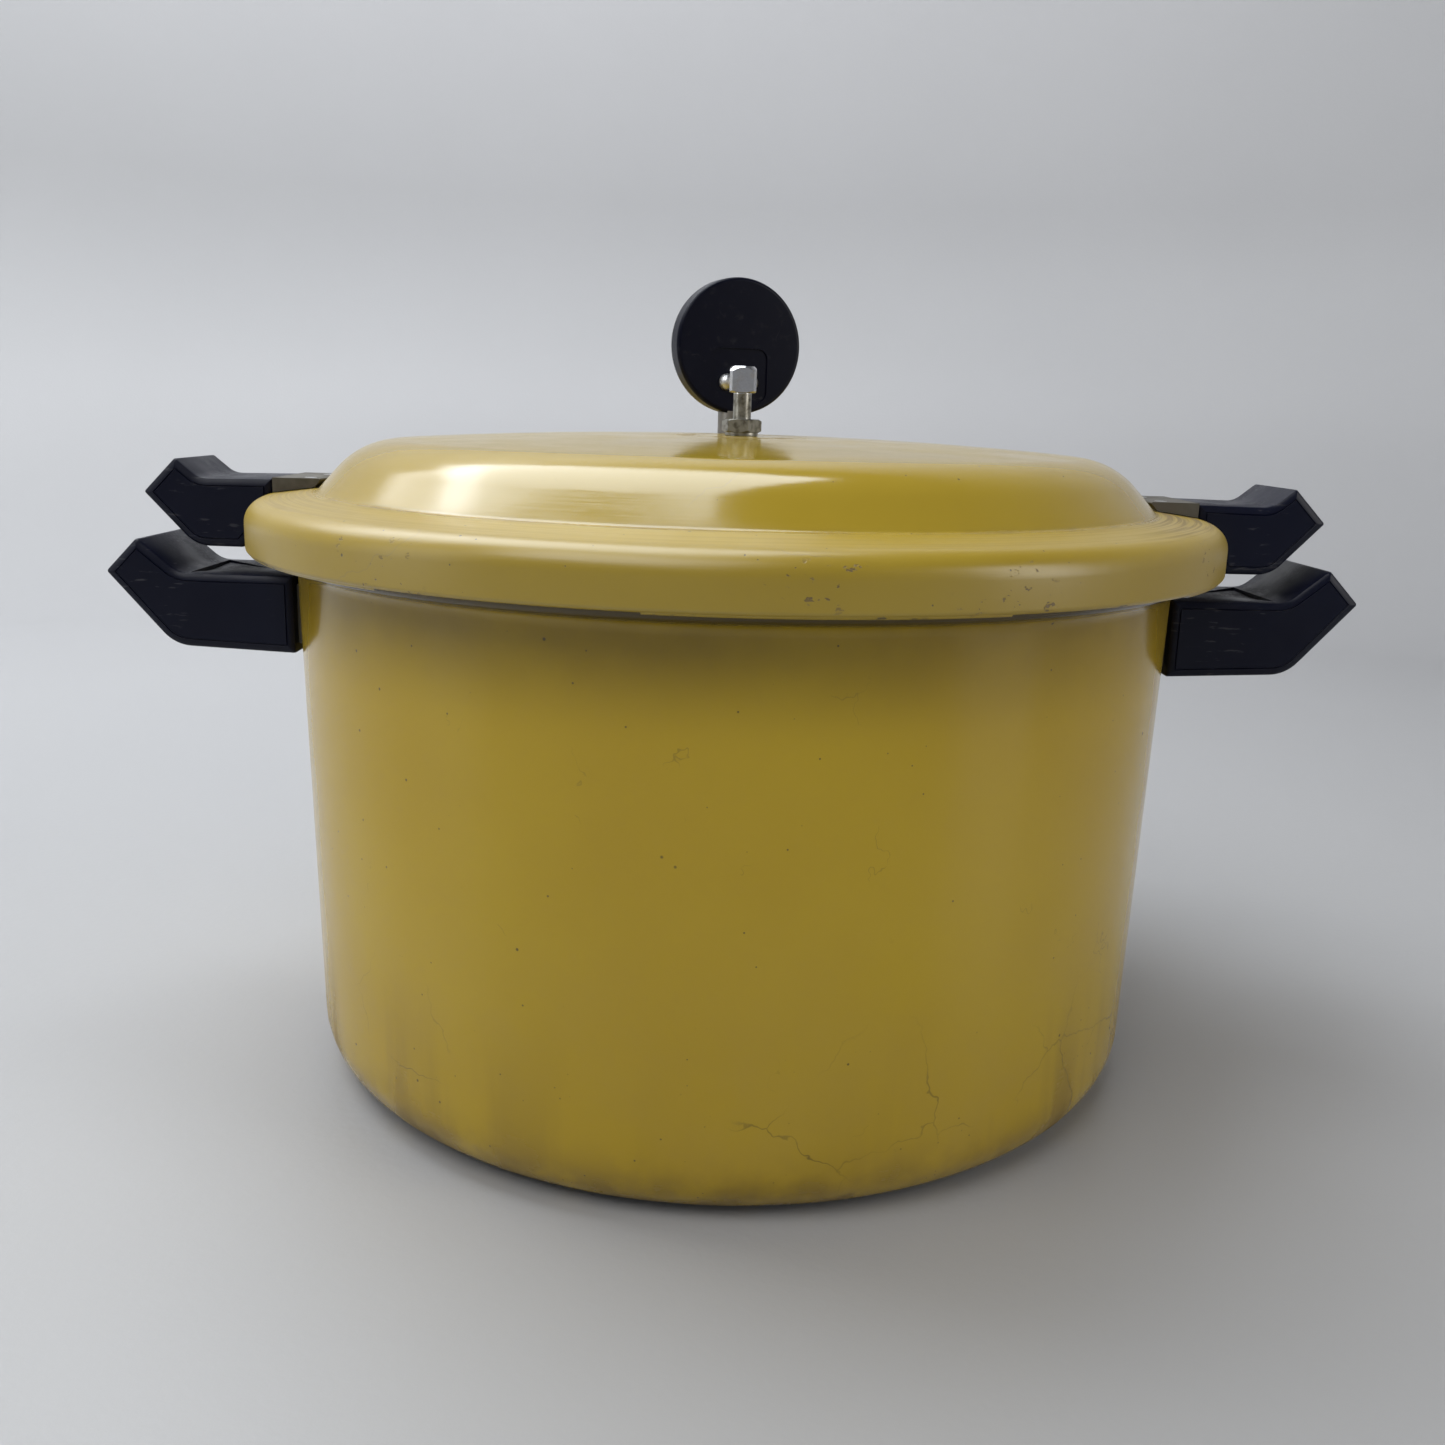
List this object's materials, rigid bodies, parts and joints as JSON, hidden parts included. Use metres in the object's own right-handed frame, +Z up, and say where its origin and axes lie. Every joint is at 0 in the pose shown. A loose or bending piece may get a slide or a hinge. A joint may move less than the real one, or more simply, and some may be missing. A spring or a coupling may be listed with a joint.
{
  "type": "pressure canner",
  "caption": "Stove-top pressure canner: enamelled pot and bayonet lid with side handles, dial gauge, vent pipe, pressure plug, seal and cooking rack.",
  "frame": {"origin": "centre of the pot's base, on the surface it stands on", "axes": "+Z up through the middle of the lid; +X along the handles, the longest way; +Y towards the side that the gauge's dial faces, so the gauge is seen from behind from -Y"},
  "size_m": [0.4636, 0.356, 0.2927],
  "materials": {
    "enamel": "gloss",
    "phenolic": "satin",
    "bracket_metal": "satin",
    "rivet_metal": "satin",
    "screw_steel": "satin",
    "rack_aluminium": "satin",
    "rubber": "matte",
    "vent_plating": "worn",
    "lid_nut_brass": "satin",
    "socket_brass": "dull",
    "case_enamel": "gloss",
    "tube_bronze": "satin",
    "movement_brass": "satin",
    "spring_steel": "satin",
    "dial_face": "matte",
    "pointer_black": "matte",
    "lens": "gloss"
  },
  "bodies": {
    "pot": {"pot_body": "enamel", "body_handle_left": "phenolic", "body_handle_right": "phenolic", "body_handle_bracket_left": "bracket_metal", "body_handle_bracket_right": "bracket_metal", "body_bracket_rivets": "rivet_metal", "body_handle_screws": "screw_steel", "body_handle_washers": "screw_steel"},
    "rack": {"cooking_rack": "rack_aluminium"},
    "seal": {"sealing_ring": "rubber"},
    "lid": {"lid": "enamel", "lid_handle_left": "phenolic", "lid_handle_right": "phenolic", "lid_handle_bracket_left": "bracket_metal", "lid_handle_bracket_right": "bracket_metal", "lid_bracket_rivets": "rivet_metal", "lid_handle_screws": "screw_steel", "lid_handle_washers": "screw_steel", "vent_pipe": "vent_plating", "vent_pipe_gasket": "rubber", "vent_pipe_nut": "lid_nut_brass", "gauge_socket": "socket_brass", "gauge_gasket": "rubber", "gauge_nut": "lid_nut_brass", "gauge_case": "case_enamel", "gauge_rivets": "rivet_metal", "bourdon_tube": "tube_bronze", "movement_back_plate": "movement_brass", "movement_front_plate": "movement_brass", "movement_pillars": "movement_brass", "movement_screws": "screw_steel", "hairspring": "spring_steel", "gauge_dial": "dial_face", "dial_screws": "screw_steel", "gauge_lens": "lens"},
    "plug": {"overpressure_plug": "rubber"},
    "sector": {"sector_gear": "movement_brass"},
    "link": {"connecting_link": "movement_brass", "bourdon_tip": "tube_bronze"},
    "pointer": {"pointer_shaft": "screw_steel", "gauge_pointer": "pointer_black"}
  },
  "joints": [
    {"name": "rack_lift", "type": "slide", "parent": "pot", "child": "rack", "axis": [0, 0, 1], "range_m": [0, 0.16]},
    {"name": "lid_lift", "type": "slide", "parent": "pot", "child": "seal", "axis": [0, 0, 1], "range_m": [0, 0.3]},
    {"name": "lid_turn", "type": "hinge", "parent": "seal", "child": "lid", "pos_m": [0, 0, 0.2], "axis": [0, 0, 1], "range_deg": [0, 30]},
    {"name": "plug_pop", "type": "slide", "parent": "lid", "child": "plug", "axis": [0, 0.0634, 0.998], "range_m": [0, 0.01]},
    {"name": "gauge_sector", "type": "hinge", "parent": "lid", "child": "sector", "pos_m": [0.0035, 0.02261, 0.2576], "axis": [-0.3584, 0.9336, 0], "range_deg": [0, 50], "stiffness_Nm_per_rad": 0.002, "deforming": ["bourdon_tube"]},
    {"name": "gauge_pointer_turn", "type": "hinge", "parent": "lid", "child": "pointer", "pos_m": [-0.00173, 0.02061, 0.2673], "axis": [-0.3584, 0.9336, 0], "range_deg": [-270, 0], "deforming": ["hairspring"]},
    {"name": "gauge_link_swing", "type": "hinge", "parent": "sector", "child": "link", "pos_m": [0.00157, 0.02232, 0.25352], "axis": [-0.3584, 0.9336, 0], "range_deg": [-50, 0]}
  ],
  "couplings": [
    {"joint": "gauge_pointer_turn", "follows": "gauge_sector", "ratio": -5.4},
    {"joint": "gauge_link_swing", "follows": "gauge_sector", "ratio": -1}
  ]
}
